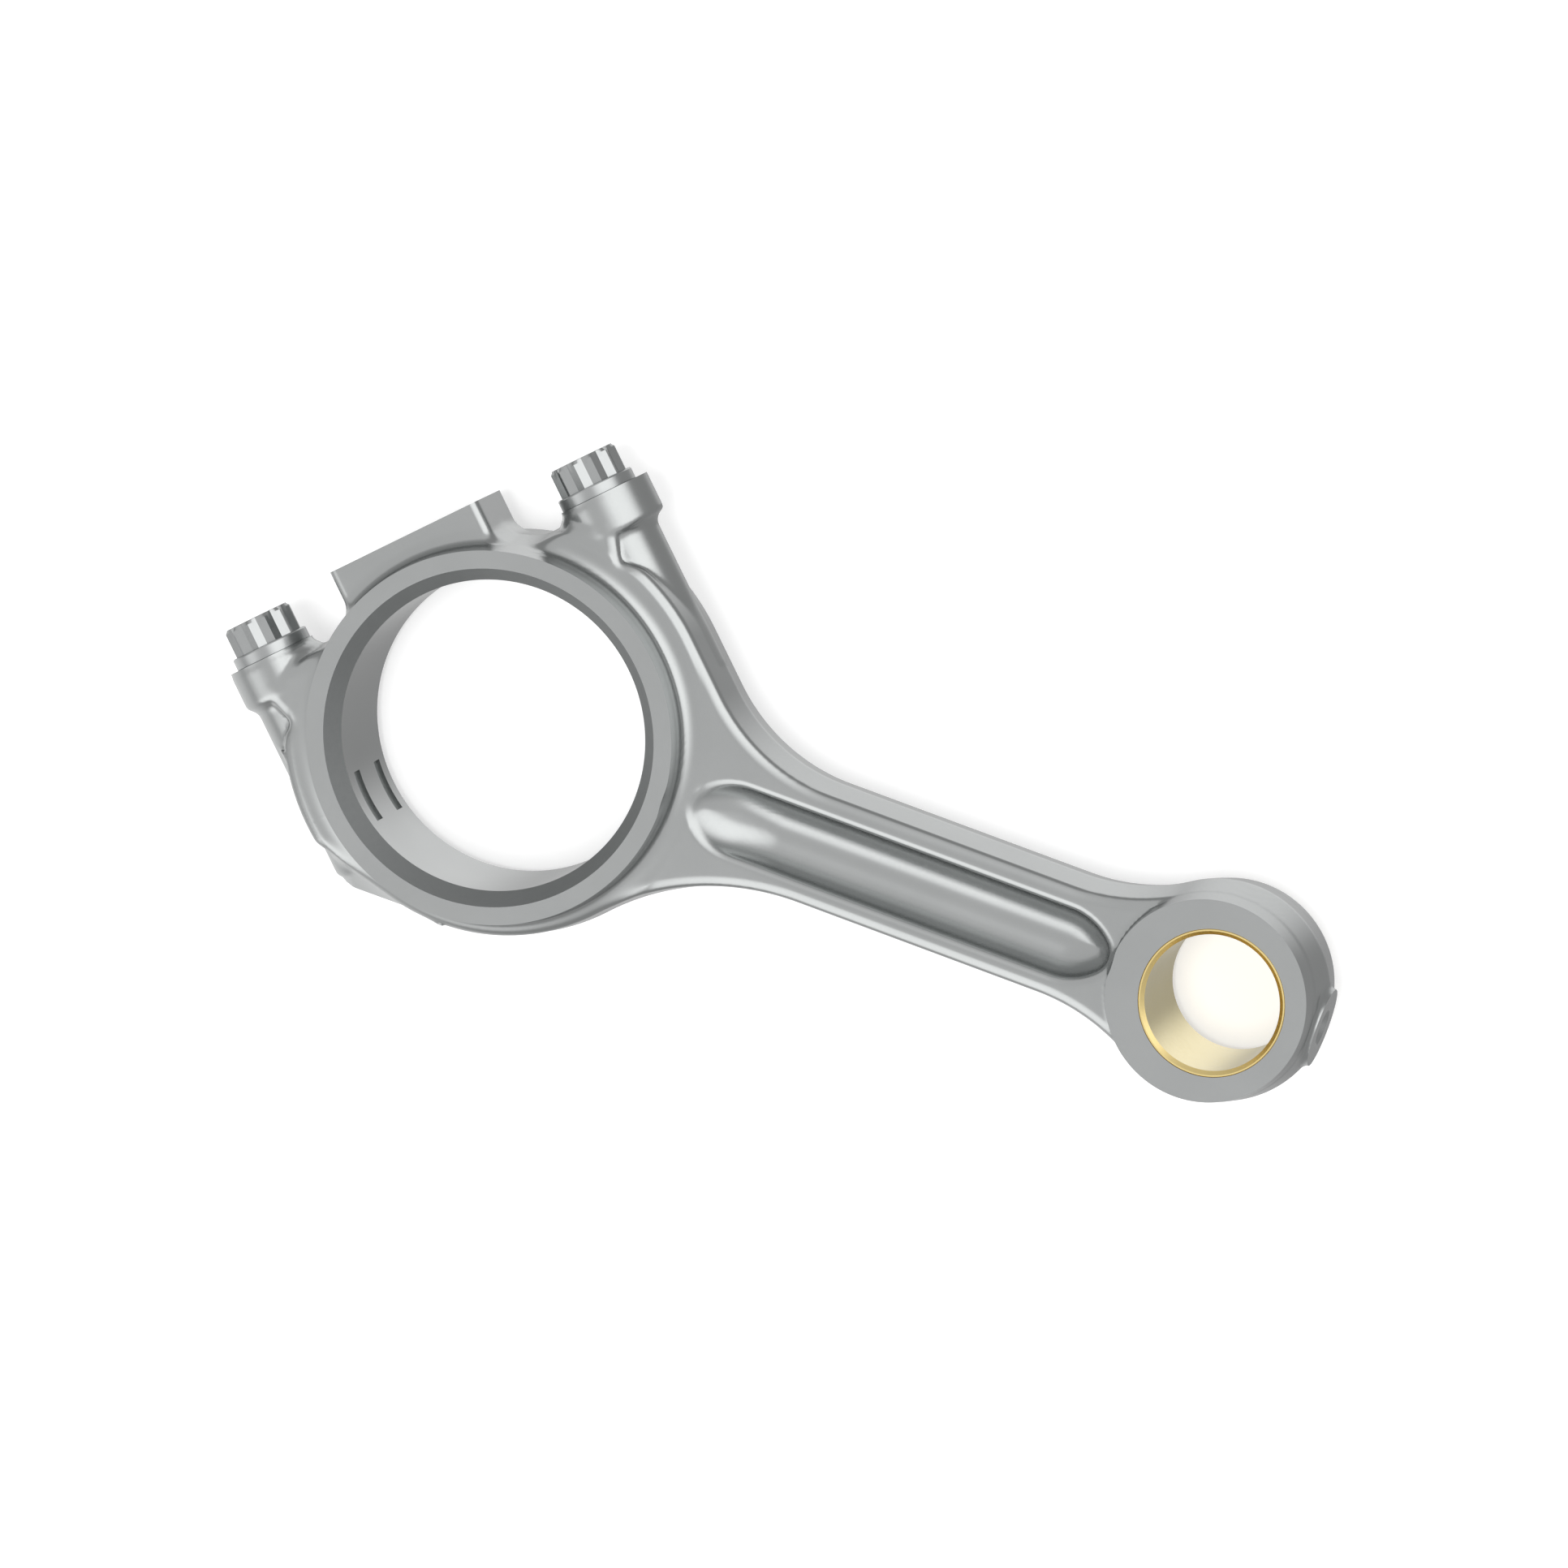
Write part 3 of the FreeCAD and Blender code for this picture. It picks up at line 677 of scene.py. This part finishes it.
def classify(obj):
    """Gives the machined and fractured faces their own material slots, by where they lie."""
    mesh = obj.data
    n = len(mesh.polygons)
    centre, normal = np.empty(n * 3, np.float32), np.empty(n * 3, np.float32)
    mesh.polygons.foreach_get("center", centre)
    mesh.polygons.foreach_get("normal", normal)
    x, y, z = centre.reshape(-1, 3).T
    nx, ny, nz = normal.reshape(-1, 3).T
    u, v = (x + y) * S, (y - x) * S
    nv = (ny - nx) * S
    r = np.hypot(x, y)
    near, slack, square, level, small_end_x = 0.02, 0.01, 0.999, 0.9999, 130
    kind = np.full(n, FORGED, np.int32)
    up = np.abs(nz) > square
    kind[up & (np.abs(np.abs(z) - THRUST_Z) < near)] = FACED
    kind[up & (np.abs(np.abs(z) - SMALL_Z) < near) & (x > small_end_x)] = FACED
    kind[(nv > square) & ((np.abs(v - SEAT_V) < near) | (np.abs(v - PAD_V) < near))] = FACED
    kind[(nx > square) & (x > TIP_X - near)] = FACED
    in_bore = (r < BORE_CHAMFER_R + 0.1) & (np.abs(z) < THRUST_Z - slack) & (np.abs(nv) < level)
    kind[in_bore] = BORED
    # the bore's chamfers take the darker steel, painted shade
    kind[in_bore & (np.abs(z) > BORE_STRAIGHT)] = SHADED_CHAMFER
    kind[(np.hypot(x - CENTRES, y) < BUSH_R + slack) & (np.abs(z) < SMALL_Z - slack)] = BORED
    stem = np.minimum(np.hypot(u - BOLT_U, z), np.hypot(u + BOLT_U, z))
    kind[(stem < CLEAR_R + slack) & (np.abs(v) > near) & (v < SEAT_V - slack)] = BORED
    kind[(np.abs(nv) > level) & (np.abs(v) < near)] = BROKEN
    mesh.polygons.foreach_set("material_index", kind)


def finish_piece(obj, materials, body, node, crease=FORGED_CREASE):
    """Scales a piece to metres, shades it and hands it to its body."""
    obj.data.transform(Matrix.Scale(MM, 4))
    for mat in materials:
        obj.data.materials.append(mat)
    obj.data.polygons.foreach_set("use_smooth", [True] * len(obj.data.polygons))
    obj.data.set_sharp_from_angle(angle=math.radians(crease))
    obj.data.update()
    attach(obj, body)
    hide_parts(node)
    return obj


def build_rod():
    """The forging, machined whole and then split into the rod and its cap."""
    whole = machine(forging_mesh("rod_forging"))
    cap = whole.copy()
    cap.data = whole.data.copy()
    cap.name = "cap_forging"
    bpy.context.scene.collection.objects.link(cap)
    steels = forging_materials()
    cap_side, rod_side = 100, 300
    carve(whole, [box("cut", (-cap_side, 0, -THROUGH), (cap_side, cap_side, THROUGH), TO_SPLIT)])
    carve(cap, [box("cut", (-rod_side, -rod_side, -THROUGH), (rod_side, 0, THROUGH), TO_SPLIT)])
    for obj, body, node in ((whole, "rod", "rod_body"), (cap, "cap", "bearing_cap")):
        classify(obj)
        finish_piece(obj, steels, body, node)


def build_bolts():
    """The two cap bolts, one on each side of the bore."""
    steel = bolt_material()
    for name, side in (("upper", 1), ("lower", -1)):
        obj = bolt_mesh(name + "_flange_bolt", side * BOLT_U)
        finish_piece(obj, [steel], name + "_bolt", name + "_cap_bolt", BOLT_CREASE)


def build_bush():
    """Bronze bush with its two finishes."""
    bush = bush_mesh("pin_bush")
    for face in bush.data.polygons:
        c = face.center
        reach = math.hypot(c.x - CENTRES, c.y)
        face.material_index = int(reach < BUSH_BORE_R + 0.05 and abs(c.z) < SMALL_Z - BUSH_CHAMFER)
    finish_piece(bush, bush_materials(), "rod", "small_end_bush")


def floor():
    """White ground, which the metal doesn't mirror."""
    mat, _, shader = material("studio_floor", (FLOOR_GREY, FLOOR_GREY, FLOOR_GREY), 0.9, 0.0)
    shader.inputs["Emission Color"].default_value = (1, 1, 1, 1)
    shader.inputs["Emission Strength"].default_value = FLOOR_GLOW
    h = FLOOR_HALF
    plane = mesh_object("floor", [(-h, -h, 0), (h, -h, 0), (h, h, 0), (-h, h, 0)], [(0, 1, 2, 3)])
    plane.location.z = CAD_BOX[0].z
    plane.data.materials.append(mat)
    plane.visible_glossy = False


def studio():
    """White tent, darker low down, with broad brighter panels, and a soft overhead light."""
    bpy.context.scene.view_settings.view_transform = "Standard"
    world = bpy.data.worlds.new("studio")
    bpy.context.scene.world = world
    world.use_nodes = True
    tree = world.node_tree
    coords = tree.nodes.new("ShaderNodeTexCoord")
    level = None
    for toward, wide, narrow, gain in TENT_PANELS:
        dot = tree.nodes.new("ShaderNodeVectorMath")
        dot.operation = "DOT_PRODUCT"
        dot.inputs[1].default_value = Vector(toward).normalized()
        tree.links.new(coords.outputs["Generated"], dot.inputs[0])
        glow = tree.nodes.new("ShaderNodeMapRange")
        glow.interpolation_type = "SMOOTHSTEP"
        glow.inputs["From Min"].default_value = math.cos(math.radians(wide))
        glow.inputs["From Max"].default_value = math.cos(math.radians(narrow))
        glow.inputs["To Max"].default_value = gain
        tree.links.new(dot.outputs["Value"], glow.inputs["Value"])
        add = tree.nodes.new("ShaderNodeMath")
        add.inputs[0].default_value = TENT_LEVEL
        if level:
            tree.links.new(level, add.inputs[0])
        tree.links.new(glow.outputs["Result"], add.inputs[1])
        level = add.outputs["Value"]
    tree.links.new(level, tree.nodes["Background"].inputs["Strength"])
    tree.nodes["Background"].inputs["Color"].default_value = (1, 1, 1, 1)
    data = bpy.data.lights.new("overhead", "SUN")
    data.energy, data.angle = SUN_POWER, math.radians(SUN_SPREAD)
    sun = bpy.data.objects.new("overhead", data)
    sun.visible_glossy = False
    bpy.context.scene.collection.objects.link(sun)


def camera():
    """Long lens from above, a little to the right of the rod's length."""
    at = Vector((0.54536, 0.59721, 2.60833))
    aim = Vector((0.05876, 0.00871, 0.0))
    up = Vector((-0.34202, 0.92834, -0.14565))
    back = (at - aim).normalized()
    right = up.cross(back).normalized()
    data = bpy.data.cameras.new("camera")
    data.lens, data.sensor_width = 302.0, 36.0
    data.clip_start, data.clip_end = 0.1, 50
    obj = bpy.data.objects.new("camera", data)
    obj.matrix_world = Matrix((right, back.cross(right), back)).transposed().to_4x4()
    obj.location = at
    bpy.context.scene.collection.objects.link(obj)
    bpy.context.scene.camera = obj


build_rod()
build_bolts()
build_bush()
floor()
studio()
camera()
